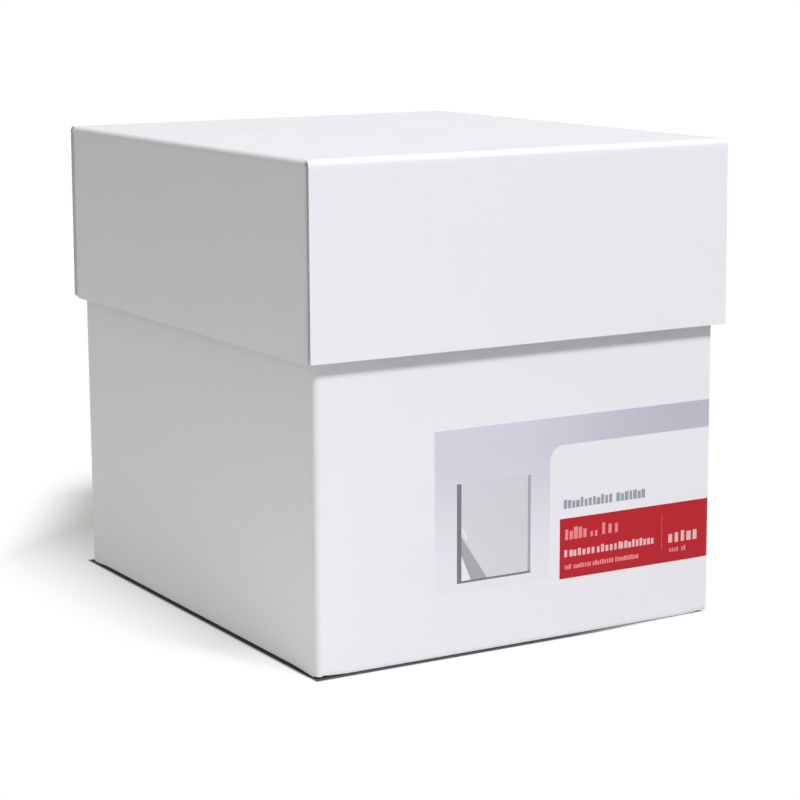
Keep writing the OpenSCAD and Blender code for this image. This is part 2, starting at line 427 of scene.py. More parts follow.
lid.patch(top_xs, top_ys, lambda x, y: ((x, y, LID_TOP), (0, 0, -1), BOARD, y))
for s in (-1, 1):
    lid.patch(QUARTER, end_xs, lambda a, x: folded(
        (x, s * flat_y, fold_z), (0, s * math.sin(a), math.cos(a)),
        s * (flat_y + FOLD * a)), "v0 v1")
    lid.patch(wall_zs, end_xs, lambda z, x: (
        (x, s * LID_Y, z), (0, -s, 0), BOARD, s * (flat_y + fold_run + fold_z - z)), "u0 v0 v1")
    lid.patch(QUARTER, top_ys, lambda a, y: folded(
        (s * flat_x, y, fold_z), (s * math.sin(a), 0, math.cos(a)), y))
    lid.patch(wall_zs, side_ys, lambda z, y: ((s * LID_X, y, z), (-s, 0, 0), BOARD, y), "u0")
    for e in (-1, 1):
        lid.patch(QUARTER, wall_zs, lambda a, z: folded(
            (s * flat_x, e * side_y, z), (s * math.cos(a), e * math.sin(a), 0),
            e * (side_y + FOLD * a), BOARD if a == 0 else GLUED), "v0")
        lid.patch(spread(flat_x - TAB_LONG, flat_x, CELL), tab_zs, lambda x, z: (
            (s * x, e * turn_y, z), (0, -e, 0), GLUED, e * (side_y + fold_run + flat_x - x)))

lid_piece = board_piece("lid_board", lid, LID_WHITE, lid_shape)

# %% [markdown]
# ## The base
# The base's four walls are one ring. It starts at the back wall's cut end, goes
# round three corners, and its right wall turns in behind the back wall as the
# glued lap. Below, the side walls carry the outer flaps, which the carton
# stands on, and the front and back walls carry the inner flaps, which lie on
# top of them. A full carton swells a little at mid-height, and its weight
# crushes the folds at its foot. They grow sharper, the front and back walls sink
# on the ends of the outer flaps until they nearly touch the floor, and the side
# folds are levered a little clear of it. Short upright strips close the foot's
# four corners, between the folds of the flaps.

# %% How the full base settles
BASE_SWELL = 0.45 * MM
FOOT_SINK, SINK_IN, SINK_UP = 2.85 * MM, 25 * MM, 34 * MM
FOOT_LIFT, LIFT_IN, LIFT_UP = 0.9 * MM, 14 * MM, 40 * MM
CRUSH = 6
SWELL_FROM = 0.9
in_x, in_y = BASE_X - FOLD, BASE_Y - FOLD


def crushed(out, down):
    """How far a fold's point moves out and down as the round fold becomes a sharper one."""
    if out <= 0 or down <= 0:
        return 0.0, 0.0
    run = math.hypot(out, down)
    grown = ((out / run) ** CRUSH + (down / run) ** CRUSH) ** (-1 / CRUSH)
    grown = max(1.0, min(grown, FOLD / max(out, down)))
    return out * (grown - 1), down * (grown - 1)


def base_shape(p):
    """A point of the base once it is full: swollen walls, and a foot that settles."""
    x, y, z = p
    wide, deep = abs(x), abs(y)
    near_x, near_y = wide / BASE_X, deep / BASE_Y
    swell = BASE_SWELL * math.sin(math.pi * min(1.0, max(0.0, z / BASE_TOP)))
    bend_x = max(0.0, 1 - near_y ** 2) * max(0.0, near_x - SWELL_FROM) / (1 - SWELL_FROM)
    bend_y = max(0.0, 1 - near_x ** 2) * max(0.0, near_y - SWELL_FROM) / (1 - SWELL_FROM)
    sink = (FOOT_SINK * ramp(deep, BASE_Y - SINK_IN, BASE_Y - FOLD)
            * min(1.0, z / BOARD) * (1 - ramp(z, BOARD + FOLD, SINK_UP)))
    lift = (FOOT_LIFT * ramp(wide, BASE_X - LIFT_IN, BASE_X - FOLD)
            * (1 - ramp(z, BOARD, LIFT_UP)))
    out_x, down_x = crushed(wide - in_x, FOLD - z)
    out_y, down_y = crushed(deep - in_y, BOARD + FOLD - z)
    return Vector((x + math.copysign(swell * bend_x + out_x, x),
                   y + math.copysign(swell * bend_y + out_y, y),
                   z + lift - sink - down_x - down_y))


print("the front and back walls sink by up to", round(FOOT_SINK / MM, 2), "mm at the foot")

# %% The base's sheet
INNER_FLAP, LAP_WIDE = 126.2 * MM, 35 * MM
base = Sheet()
back_end = BASE_X - CUT_IN
lap_y = BASE_Y - BOARD
right_y = lap_y - FOLD
low_z = BOARD + FOLD
inner_y = BASE_Y - INNER_FLAP
ring_zs = spread(low_z, BASE_TOP, CELL, (low_z + TRIM, BASE_TOP - TRIM, BASE_TOP - BAND))
lap_zs = between(ring_zs, low_z + TRIM, BASE_TOP - TRIM)
front_xs = spread(-in_x, in_x, CELL, (-in_x + BAND, in_x - BAND))
left_ys = spread(-in_y, in_y, CELL, (-in_y + BAND, in_y - BAND))
right_ys = spread(-in_y, right_y, CELL, (-in_y + BAND, right_y - BAND))
run_left, run_front = 2 * BASE_X, 2 * BASE_X + 2 * BASE_Y
run_right = 4 * BASE_X + 2 * BASE_Y


def corner(sx, sy, run, turn):
    """The place on a rounded corner at angle a from the x side, with its run of flutes."""
    return lambda a, z: folded((sx * in_x, sy * in_y, z), (sx * math.cos(a), sy * math.sin(a), 0),
                               run + turn * FOLD * (1 - a / (math.pi / 4)))


def lap_corner(a, z):
    """The place on the fold of the glued lap, which is pressed thin."""
    return folded((in_x, right_y, z), (math.cos(a), math.sin(a), 0),
                  run_right + BASE_Y + right_y + FOLD * a, BOARD if a == 0 else GLUED)


def back_wall(x, z):
    return (x, BASE_Y, z), (0, -1, 0), BOARD, BASE_X - x


back_left = corner(-1, 1, run_left, 1)
front_left = corner(-1, -1, run_front, -1)
front_right = corner(1, -1, run_right, 1)
past_xs = [back_end - BAND / 2, back_end]
base.patch(front_xs + past_xs, ring_zs, back_wall, "u1 v1")
base.patch(QUARTER, ring_zs, back_left, "v1")
base.patch(left_ys, ring_zs, lambda y, z: (
    (-BASE_X, y, z), (1, 0, 0), BOARD, run_left + BASE_Y - y), "v1")
base.patch(QUARTER, ring_zs, front_left, "v1")
base.patch(front_xs, ring_zs, lambda x, z: (
    (x, -BASE_Y, z), (0, 1, 0), BOARD, run_front + BASE_X + x), "v1")
base.patch(QUARTER, ring_zs, front_right, "v1")
base.patch(right_ys, ring_zs, lambda y, z: (
    (BASE_X, y, z), (-1, 0, 0), BOARD, run_right + BASE_Y + y), "v1")
base.patch(QUARTER, ring_zs, lap_corner, "v1")
base.patch(spread(BASE_X - LAP_WIDE, in_x, CELL), lap_zs, lambda x, z: (
    (x, lap_y, z), (0, -1, 0), GLUED,
    run_right + BASE_Y + right_y + fold_run + in_x - x))

foot_zs = [1.1 * BOARD, low_z]
for fold in (back_left, front_left, front_right, lap_corner):
    base.patch(QUARTER, foot_zs, fold, "v0")
base.patch([in_x] + past_xs, foot_zs, back_wall, "u1 v0")
for s, ys, run in ((-1, left_ys, lambda y: run_left + BASE_Y - y),
                   (1, right_ys, lambda y: run_right + BASE_Y + y)):
    base.patch([FOLD, low_z], ys, lambda z, y: (
        (s * BASE_X, y, z), (-s, 0, 0), BOARD, run(y)), "v1" if s == 1 else "")
    base.patch(QUARTER, ys, lambda a, y: folded(
        (s * in_x, y, FOLD), (s * math.cos(a), 0, -math.sin(a)), run(y)), "v0 v1")
    base.patch(spread(CUT_IN, in_x, CELL, (CUT_IN + BAND,)), ys, lambda x, y: (
        (s * x, y, 0), (0, 0, 1), BOARD, run(y)), "u0 v0 v1")
for s, run in ((-1, lambda x: run_front + BASE_X + x), (1, lambda x: BASE_X - x)):
    base.patch(QUARTER, front_xs, lambda a, x: folded(
        (x, s * in_y, low_z), (0, s * math.cos(a), -math.sin(a)), run(x)), "v0 v1")
    base.patch(spread(inner_y, in_y, CELL, (inner_y + BAND,)), front_xs, lambda y, x: (
        (x, s * y, BOARD), (0, 0, 1), BOARD, run(x)), "u0 v0 v1")

base_piece = board_piece("base_board", base, BASE_WHITE, base_shape)

# %% [markdown]
# ## The flutes at the cut edges
# Between the liners a strip of paper runs in waves. A cut across the flutes
# shows the waves, and a cut along them shows one slow drift of the paper from
# liner to liner. Geometry Nodes suit this: a poly-line follows each cut edge,
# the tree resamples it, shifts each point across the board by a sine of the
# distance, pulls the line into the board as a strip, and thickens it. Each line
# carries the way into the board and the wave's pitch as attributes.

# %% Trees and what they make
def open_tree(name, inputs):
    """A new tree that takes a geometry, the named inputs and a material, and gives a geometry."""
    g = Graph(bpy.data.node_groups.new(name, "GeometryNodeTree"))
    for label, kind in (("Geometry", "Geometry"), *inputs, ("Material", "Material")):
        g.tree.interface.new_socket(label, in_out="INPUT", socket_type="NodeSocket" + kind)
    g.tree.interface.new_socket("Geometry", in_out="OUTPUT", socket_type="NodeSocketGeometry")
    return g, g.add("NodeGroupInput")


def close_tree(g, given, made):
    """Realizes what a tree made, gives it the material, and hands out the tree."""
    real = g.add("GeometryNodeRealizeInstances", None, {"Geometry": made})
    coated = g.add("GeometryNodeSetMaterial", None,
                   {"Geometry": real, "Material": given.output("Material")})
    g.join(g.tree.nodes.new("NodeGroupOutput"), {"Geometry": coated})
    return g.tree


def plain_mesh(piece):
    """Turns what the modifiers make into the object's own mesh."""
    graph = bpy.context.evaluated_depsgraph_get()
    made = bpy.data.meshes.new_from_object(piece.evaluated_get(graph))
    piece.modifiers.clear()
    piece.data = made


def run_tree(piece, tree, values):
    """Runs a tree on a piece, with its inputs set by their identifiers, and keeps the mesh."""
    modifier = piece.modifiers.new(tree.name, "NODES")
    modifier.node_group = tree
    for socket in tree.interface.items_tree:
        if socket.name in values:
            modifier[socket.identifier] = values[socket.name]
    plain_mesh(piece)


print("every tree takes a geometry and a material, and gives a geometry")

# %% The flute tree
def flute_tree():
    """The tree that turns cut-edge lines into waves of paper."""
    g, given = open_tree("flutes_along_cut_edges", (
        ("Wave height", "Float"), ("Step", "Float"), ("Depth", "Float"), ("Paper", "Float")))
    into = g.add("GeometryNodeInputNamedAttribute", {"data_type": "FLOAT_VECTOR"},
                 {"Name": "into_board"})
    pitch = g.add("GeometryNodeInputNamedAttribute", {"data_type": "FLOAT"},
                  {"Name": "flute_pitch"})
    line = g.add("GeometryNodeMeshToCurve", None, {"Mesh": given})
    line = g.add("GeometryNodeResampleCurve", {"mode": "LENGTH"},
                 {"Curve": line, "Length": given.output("Step")})
    run = g.add("GeometryNodeSplineParameter").output("Length")
    wave = (run / pitch * (2 * math.pi)).sine() * given.output("Wave height")
    tangent = g.add("GeometryNodeInputTangent")
    across = g.add("ShaderNodeVectorMath", {"operation": "CROSS_PRODUCT"}, {0: tangent, 1: into})
    shift = g.add("ShaderNodeVectorMath", {"operation": "SCALE"}, {0: across, "Scale": wave})
    line = g.add("GeometryNodeSetPosition", None, {"Geometry": line, "Offset": shift})
    wire = g.add("GeometryNodeCurveToMesh", None, {"Curve": line})
    strip = g.add("GeometryNodeExtrudeMesh", {"mode": "EDGES"},
                  {"Mesh": wire, "Offset": into, "Offset Scale": given.output("Depth")})
    raised = g.add("GeometryNodeExtrudeMesh", {"mode": "FACES"},
                   {"Mesh": strip, "Offset Scale": given.output("Paper"), "Individual": False})
    under = g.add("GeometryNodeFlipFaces", None, {"Mesh": strip})
    both = g.add("GeometryNodeJoinGeometry", None, {"Geometry": raised})
    g.join(both.socket.node, {"Geometry": under})
    return close_tree(g, given, g.add("GeometryNodeMergeByDistance", None,
                                      {"Geometry": both, "Distance": 0.005 * MM}))


FLUTES = flute_tree()
FLUTE_SIZES = {"Wave height": 0.95 * MM, "Step": 0.65 * MM, "Depth": 4.6 * MM,
               "Paper": 0.25 * MM, "Material": FLUTE_PAPER}
print("flute tree:", len(FLUTES.nodes), "nodes")


def flute_piece(name, lines, shape):
    """The waves of paper along several cut edges, as one plain mesh."""
    points, edges, into, pitch = [], [], [], []
    for path, way, length in lines:
        start = len(points)
        points += path
        edges += [(start + i, start + i + 1) for i in range(len(path) - 1)]
        into += [c for _ in path for c in way]
        pitch += [length] * len(path)
    piece = new_piece(name, points, edges)
    marks = piece.data.attributes
    marks.new("into_board", "FLOAT_VECTOR", "POINT").data.foreach_set("vector", into)
    marks.new("flute_pitch", "FLOAT", "POINT").data.foreach_set("value", pitch)
    run_tree(piece, FLUTES, FLUTE_SIZES)
    faces_out(piece.data, shape)
    print(name, "faces:", len(piece.data.polygons), "edges followed:", len(lines))
    return piece


# %% [markdown]
# The lid's flutes run from side to side of the blank. So they stand upright in
# its side walls, where the rim shows waves, and lie level in its front and back
# walls, where the upright cut ends show them. The base's flutes all stand
# upright, as in any slotted carton, and show all along its top. Each line lies
# in the middle of the board, a little behind the cut, and the slow drift along
# a flute is a wave of a much longer pitch.

# %% Flutes of the lid and of the base
MIDDLE, BEHIND, DRIFT_PITCH = BOARD / 2, 0.35 * MM, 61 * MM
LID_END_DEPTH, BASE_END_DEPTH = 0.55, 0.5
mid_x, mid_y, rim_z, cut_x = LID_X - MIDDLE, LID_Y - MIDDLE, LID_RIM + BEHIND, end_x - BEHIND
lid_lines = []
for s in (-1, 1):
    lid_lines += [
        ([(s * mid_x, -side_y, rim_z), (s * mid_x, side_y, rim_z)], (0, 0, 1), FLUTE_PITCH),
        ([(-end_x + BAND, s * mid_y, rim_z), (end_x - BAND, s * mid_y, rim_z)],
         (0, 0, 1), DRIFT_PITCH)]
    lid_lines += [([(e * cut_x, s * mid_y, LID_RIM + MM), (e * cut_x, s * mid_y, fold_z)],
                   (-e * LID_END_DEPTH, 0, 0), FLUTE_PITCH) for e in (-1, 1)]
lid_flutes = flute_piece("lid_flutes", lid_lines, lid_shape)

arc, cut_x, back_y = FOLD - MIDDLE, back_end - BEHIND, BASE_Y - MIDDLE
ring = [(cut_x, back_y)]
for sx, sy, order in ((-1, 1, -1), (-1, -1, 1), (1, -1, -1)):
    ring += [(sx * (in_x + arc * math.cos(a)), sy * (in_y + arc * math.sin(a)))
             for a in QUARTER[::order]]
ring.append((in_x + arc, right_y))
base_lines = [([(x, y, BASE_TOP - BEHIND) for x, y in ring], (0, 0, -1), FLUTE_PITCH),
              ([(cut_x, back_y, low_z + MM), (cut_x, back_y, BASE_TOP - BAND)],
               (-BASE_END_DEPTH, 0, 0), DRIFT_PITCH)]
seam_x, near_y = CUT_IN + BEHIND, -in_y + BEHIND
for s, far_y in ((-1, in_y - BEHIND), (1, right_y - BEHIND)):
    base_lines.append(([(s * seam_x, near_y, MIDDLE), (s * seam_x, far_y, MIDDLE)],
                       (s, 0, 0), FLUTE_PITCH))
    base_lines += [([(s * (CUT_IN + BAND), y, MIDDLE), (s * in_x, y, MIDDLE)],
                    (0, way, 0), DRIFT_PITCH) for y, way in ((near_y, 1), (far_y, -1))]
base_flutes = flute_piece("base_flutes", base_lines, base_shape)

# %% [markdown]
# ## The print
# Ink has no thickness to speak of, but the print is kept as pieces of its own,
# so that each colour can be told apart and repainted. Each is a flat outline
# that is cut into small cells, wrapped round the carton's corner, and laid a
# few hundredths of a millimetre over the swollen front wall.

# %% Ink outlines
INK, OVER = 0.04 * MM, 0.01 * MM
FLAT_CUTS, FOLD_CUTS = 20, 6
LEVEL_CUTS = range(20, 130, 12)


def wrap(along, z):
    """The place and the way inwards at a distance along the front wall and round its corner."""
    if along <= in_x:
        return Vector((along, -BASE_Y, z)), Vector((0, 1, 0))
    angle = (along - in_x) / FOLD
    if angle <= math.pi / 2:
        return (Vector((in_x + FOLD * math.sin(angle), -in_y - FOLD * math.cos(angle), z)),
                Vector((-math.sin(angle), math.cos(angle), 0)))
    return Vector((BASE_X, -in_y + along - in_x - fold_run, z)), Vector((-1, 0, 0))


def ink_piece(name, outlines, material, depth=INK):
    """Flat outlines in mm from the right corner and the floor, laid on the board as ink."""
    work = bmesh.new()
    edges = []
    for outline in outlines:
        loop = [work.verts.new((BASE_X + x * MM, 0, z * MM)) for x, z in outline]
        edges += [work.edges.new((a, b)) for a, b in zip(loop, loop[1:] + loop[:1])]
    bmesh.ops.triangle_fill(work, use_beauty=True, edges=edges)
    low = min(v.co.x for v in work.verts)
    high = max(v.co.x for v in work.verts)
    cuts = [low + (high - low) * i / FLAT_CUTS for i in range(1, FLAT_CUTS)]
    cuts += [in_x + fold_run * i / FOLD_CUTS for i in range(FOLD_CUTS + 1)]
    for place, normal in ([((x, 0, 0), (1, 0, 0)) for x in cuts]
                          + [((0, 0, z * MM), (0, 0, 1)) for z in LEVEL_CUTS]):
        bmesh.ops.bisect_plane(work, geom=work.verts[:] + work.edges[:] + work.faces[:],
                               dist=1e-7, plane_co=place, plane_no=normal)
    ink = Sheet()
    for k, vertex in enumerate(work.verts):
        vertex.index = k
        at, inward = wrap(vertex.co.x, vertex.co.z)
        ink.at.append(at)
        ink.inward.append(inward)
        ink.thick.append(0.0)
        ink.rib.append(run_front + BASE_X + vertex.co.x)
    cells = []
    for face in work.faces:
        cell = [v.index for v in face.verts]
        if face.normal.y > 0:
            cell.reverse()
        cells.append(cell)
    work.free()
    points, faces, ribs = [], [], []
    shell(ink, cells, lambda t: -depth - OVER, lambda t: -OVER, base_shape, points, faces, ribs)
    piece = mesh_piece(name, points, faces, [material], None, ribs)
    print(name, "faces:", len(faces))
    return piece


def box_outline(left, right, low, high):
    return [(left, low), (right, low), (right, high), (left, high)]


print("the print's places count from", round(BASE_X / MM, 2), "mm right of the middle")

# %% [markdown]
# Each ink is the board's own finish with another colour. The grey field fades
# out downwards, and its top band darkens to the right, so its colour is a mix
# that depends on the place on the board.

# %% Ink finishes
def ink_finish(name, colour, rough=0.5, fade=None):
    """An ink over coated board. fade gives its colour where that depends on the place."""
    material = finish(name, colour, rough, 0.01, 0.015, 0.01, 0.0, 0.4)
    if fade:
        g, shader, full = open_finish(material)
        x, _, z = g.axes(g.place())
        g.join(shader, {"Base Color": fade(g, x, z, full)})
    return material


def grey_fade(g, x, z, full):
    """Darker to the right along the top band, and nearly gone at the bottom."""
    right = g.mix(g.step(x, -0.02, 0.11), full, (0.52, 0.525, 0.585))
    return g.mix(g.step(z, 0.036, 0.112, 0.12, 1.0), BASE_COLOUR, right)


PIC_X, _, PIC_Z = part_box("picture_shade")[0]


def sheet_fade(g, x, z, full):
    """The pictured sheet: a little paler low down, with a glint at the turned corner's top."""
    paler = g.mix(g.step(x + z, 0.0, 0.08), (0.70, 0.71, 0.73), full)
    right, above = x - (PIC_X + 4.4 * MM), z - (PIC_Z + 27 * MM)
    aside = right * 1.6 + above * 0.8
    along = above - right
    glint = g.step(aside.size(), 1.9 * MM, 0.6 * MM) * g.step(along.size(), 7 * MM, 3 * MM)
    return g.mix(glint, paler, BASE_COLOUR)


def shade_fade(g, x, z, full):
    """The picture's shade: dark at the left and below, paler on the turned corner."""
    turned = g.step(x, PIC_X + 2.7 * MM, PIC_X + 3.1 * MM) * g.step(z, PIC_Z + MM, PIC_Z + 1.6 * MM)
    return g.mix(turned, full, (0.40, 0.40, 0.42))


GREY_INK = ink_finish("grey_ink", (0.66, 0.665, 0.74), 0.5, grey_fade)
RED_INK = ink_finish("red_ink", (0.50, 0.008, 0.017), 0.42)
PALE_INK = ink_finish("pale_red_ink", (0.86, 0.5, 0.5), 0.45)
FAINT_INK = ink_finish("faint_red_ink", (0.86, 0.25, 0.27), 0.45)
TITLE_INK = ink_finish("title_ink", (0.34, 0.35, 0.39), 0.5)
SHEET_INK = ink_finish("pictured_sheet", (0.665, 0.66, 0.695), 0.5, sheet_fade)
SHADE_INK = ink_finish("pictured_shade", (0.2, 0.2, 0.215), 0.5, shade_fade)
print("inks:", [m.name for m in (GREY_INK, RED_INK, PALE_INK, FAINT_INK, TITLE_INK,
                                SHEET_INK, SHADE_INK)])

# %% [markdown]
# The grey field surrounds a bare panel with one rounded corner and leaves room
# for the picture. The red band lies on the panel. Both run on round the
# corner. The picture is a sheet of paper with one corner turned up.

# %% Grey field, red band and picture
def printed(node):
    """A node's left, right, low and high in mm, from the right corner and the floor."""
    low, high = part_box(node)
    return [(low[0] - BASE_X) / MM, (high[0] - BASE_X) / MM, low[2] / MM, high[2] / MM]


GREY_LEFT, _, GREY_LOW, GREY_HIGH = printed("grey_field")
RED_LEFT, _, RED_LOW, RED_HIGH = printed("red_band")
PIC_LEFT, PIC_RIGHT, PIC_LOW, PIC_HIGH = printed("picture_shade")
SHEET_LEFT, SHEET_RIGHT, SHEET_LOW, _ = printed("picture_sheet")
wrap_end = (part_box("grey_field")[1][1] + in_y + fold_run - FOLD) / MM
GREY_BAND, RED_INSET, PANEL_R = 15.5, 6.5, 8
PANEL_LEFT, PANEL_HIGH = RED_LEFT - RED_INSET, GREY_HIGH - GREY_BAND
print("grey field:", [round(v, 1) for v in (GREY_LEFT, GREY_LOW, GREY_HIGH)],
      "red band:", [round(v, 1) for v in (RED_LEFT, RED_LOW, RED_HIGH)],
      "round the corner to:", round(wrap_end, 1))

bend = [(PANEL_LEFT + PANEL_R - PANEL_R * math.cos(math.radians(a)),
         PANEL_HIGH - PANEL_R + PANEL_R * math.sin(math.radians(a))) for a in range(0, 91, 10)]
grey_outline = ([(GREY_LEFT, GREY_LOW), (PANEL_LEFT, GREY_LOW)] + bend
                + [(wrap_end, PANEL_HIGH), (wrap_end, GREY_HIGH), (GREY_LEFT, GREY_HIGH)])
picture_outline = box_outline(PIC_LEFT, PIC_RIGHT, PIC_LOW, PIC_HIGH)
grey_piece = ink_piece("grey_field_ink", [grey_outline, picture_outline], GREY_INK)
red_piece = ink_piece("red_band_ink", [box_outline(RED_LEFT, wrap_end, RED_LOW, RED_HIGH)],
                      RED_INK)

curl_up, curl_along, curl_band = 24, 16, 10
curl_left, curl_low = SHEET_LEFT + 0.01, SHEET_LOW + 0.01
sheet_piece = ink_piece("picture_sheet_ink", [[
    (SHEET_LEFT, SHEET_LOW + curl_up), (SHEET_LEFT + curl_along, SHEET_LOW),
    (SHEET_RIGHT, SHEET_LOW), (SHEET_RIGHT, PIC_HIGH), (SHEET_LEFT, PIC_HIGH)]], SHEET_INK)
shade_piece = ink_piece("picture_shade_ink", [
    [(PIC_LEFT, PIC_LOW), (PIC_RIGHT, PIC_LOW), (PIC_RIGHT, PIC_HIGH), (SHEET_RIGHT, PIC_HIGH),
     (SHEET_RIGHT, SHEET_LOW), (SHEET_LEFT, SHEET_LOW), (SHEET_LEFT, PIC_HIGH),
     (PIC_LEFT, PIC_HIGH)],
    [(curl_left, SHEET_LOW + curl_up), (curl_left, SHEET_LOW + curl_up - curl_band),
     (SHEET_LEFT + curl_along - curl_band, curl_low), (SHEET_LEFT + curl_along, curl_low)]],
    SHADE_INK)

# %% [markdown]
# ## Rows of dashes
# The panel and the red band carry rows of plain dashes, which give the print its
# grain and say nothing. Geometry Nodes lay them out: the line of each run is
# resampled, a tile stands on each point, and random widths, heights and gaps with
# a fixed seed keep the row from looking like a ruler.

# %% Dashes
def dash_tree():
    """The tree that sets flat tiles of random width and height along each line."""
    g, given = open_tree("rows_of_dashes", (
        ("Pitch share", "Float"), ("Kept share", "Float"), ("Seed", "Int")))
    seed = given.output("Seed")
    tall = g.add("GeometryNodeInputNamedAttribute", {"data_type": "FLOAT"}, {"Name": "tall"})
    pitch = tall * given.output("Pitch share")
    line = g.add("GeometryNodeMeshToCurve", None, {"Mesh": given})
    dots = g.add("GeometryNodeResampleCurve", {"mode": "LENGTH"}, {"Curve": line, "Length": pitch})
    keep = g.add("FunctionNodeRandomValue", {"data_type": "BOOLEAN"},
                 {"Probability": given.output("Kept share"), "Seed": seed}, out=3)
    wide, part = (g.add("FunctionNodeRandomValue", {"data_type": "FLOAT"},
                        {2: least, 3: most, "Seed": seed + extra}, out=1)
                  for least, most, extra in ((0.6, 0.9, 1), (0.7, 1.0, 2)))
    drop = g.add("ShaderNodeCombineXYZ", None, {"Z": (part - 1) * tall * 0.5})
    dots = g.add("GeometryNodeSetPosition", None, {"Geometry": dots, "Offset": drop})
    tile = g.add("GeometryNodeMeshCube", None, {"Size": (1, 0.02 * MM, 1)})
    size = g.add("ShaderNodeCombineXYZ", None, {"X": wide * pitch, "Y": 1.0, "Z": tall * part})
    return close_tree(g, given, g.add("GeometryNodeInstanceOnPoints", None, {
        "Points": dots, "Selection": keep, "Instance": tile, "Scale": size}))


DASHES = dash_tree()


def dash_piece(name, rows, material, share, kept, seed, lift):
    """Rows of dashes: each row is its height, its tallness and the ends of its runs, in mm."""
    points, tall = [], []
    for z, height, runs in rows:
        points += [(BASE_X + end * MM, 0, z * MM) for run in runs for end in run]
        tall += [height * MM] * 2 * len(runs)
    piece = new_piece(name, points, [(k, k + 1) for k in range(0, len(points), 2)])
    piece.data.attributes.new("tall", "FLOAT", "POINT").data.foreach_set("value", tall)
    run_tree(piece, DASHES, {"Pitch share": share, "Kept share": kept, "Seed": seed,
                             "Material": material})
    for vertex in piece.data.vertices:
        at, inward = wrap(vertex.co.x, vertex.co.z)
        vertex.co = base_shape(at - inward * (lift * MM + vertex.co.y))
    print(name, "dashes:", len(piece.data.polygons) // 6)
    return piece


bold_print = dash_piece("bold_print_dashes", [
    (46.6, 4.4, [(-98, -94.5), (-92, -80), (-76.5, -62), (-60.5, -40)]),
    (46.6, 6.4, [(-27.5, -10.5)])], PALE_INK, 0.56, 1.0, 4, 0.08)
large_print = dash_piece("large_print_dashes", [
    (57.4, 6.8, [(-97.5, -85.5)]), (56, 4.2, [(-81, -78)]), (57.6, 6.8, [(-73, -64.5)])],
    FAINT_INK, 0.44, 1.0, 7, 0.08)
faint_print = dash_piece("faint_print_dashes", [
    (38.9, 2.9, [(-98, -82), (-79.5, -67), (-64.5, -50)]), (39.4, 3.0, [(-27.5, -17.5)])],
    FAINT_INK, 0.5, 0.95, 7, 0.08)
divider = ink_piece("faint_divider_ink", [box_outline(-33.5, -33.3, 40, 60)], FAINT_INK, 0.07 * MM)
title = dash_piece("title_dashes", [(74.2, 5.4, [(-98.5, -68.5), (-63.5, -46.5)])],
                   TITLE_INK, 0.5, 1.0, 5, 0.06)

# %% [markdown]
# ## The web of forms
# The forms are one strip of paper, folded back and forth at every fold line, so
# the block's two ends are rows of folds and its sides are cut edges. Down both
# sides run feed holes, half an inch apart, and half an inch in from each side a
# tear line. The block is one solid: a loop stacks the rounded folds at its two
# ends, where waves vary their depth a little, and a Geometry Nodes tree sets a
# cutting pin at every hole.

# %% Paper finish
HALF_INCH = 12.7 * MM


def paper_finish():
    """White bond paper: fine dark lines of painted shade between the sheets where their cut edges show,
    a tear line on the top.
    """
    material = finish("form_paper", (0.80, 0.80, 0.78), 0.8, 0.01, 0.02, 0.02, 0.0, 0.2)
    g, shader, plain = open_finish(material)
    x, y, z = g.axes(g.place())
    facing_up = g.axes(g.place("Normal"))[2]
    layers = g.add("ShaderNodeCombineXYZ", None, {"X": x * 4, "Y": y * 4, "Z": z * 900})
    lines = g.noise(layers, 1.0, 4, 0.7)
    side = g.step(facing_up.size(), 0.9, 0.5)
    # painted shade: dark lines between the stacked sheets on the block's sides
    shaded_gaps = g.mix(side * g.step(lines, 0.42, 0.6, 0.5, 0.0), plain, (0.5, 0.5, 0.47))
    tear = g.step((x.size() - (FORM_X - HALF_INCH)).size(), 0.35 * MM, 0.12 * MM)
    nicks = g.step((y * (2 * math.pi / (1.1 * MM))).sine(), -0.2, 0.2)
    g.join(shader, {"Base Color": g.mix(tear * nicks * 0.55 * (1 - side), shaded_gaps,
                                        (0.42, 0.42, 0.4))})
    return material


PAPER = paper_finish()
print("paper finish:", PAPER.name)

# %% Pins for the feed holes
def pin_tree():
    """The tree that stands a cutting pin on every point of a mesh."""
    g, given = open_tree("feed_hole_pins", (("Radius", "Float"), ("Length", "Float")))
    pin = g.add("GeometryNodeMeshCylinder", None,
                {"Vertices": 20, "Radius": given.output("Radius"),
                 "Depth": given.output("Length")})
    dots = g.add("GeometryNodeMeshToPoints", None, {"Mesh": given})
    return close_tree(g, given, g.add("GeometryNodeInstanceOnPoints", None,
                                      {"Points": dots, "Instance": pin}))


def punch_holes(piece):
    """Cuts the feed holes through a piece of paper."""
    punch = piece.modifiers.new("feed holes", "BOOLEAN")
    punch.operation, punch.solver, punch.object = "DIFFERENCE", "EXACT", pins
    plain_mesh(piece)


HOLES, HOLE_IN = 22, 6 * MM
hole_places = [(s * (FORM_X - HOLE_IN), (i - (HOLES - 1) / 2) * HALF_INCH,
                (FORM_LOW + FORM_TOP) / 2) for i in range(HOLES) for s in (-1, 1)]
pins = new_piece("feed_hole_cutter", hole_places)
run_tree(pins, pin_tree(), {"Radius": 2 * MM, "Length": 270 * MM, "Material": PAPER})
print("pins:", len(hole_places))

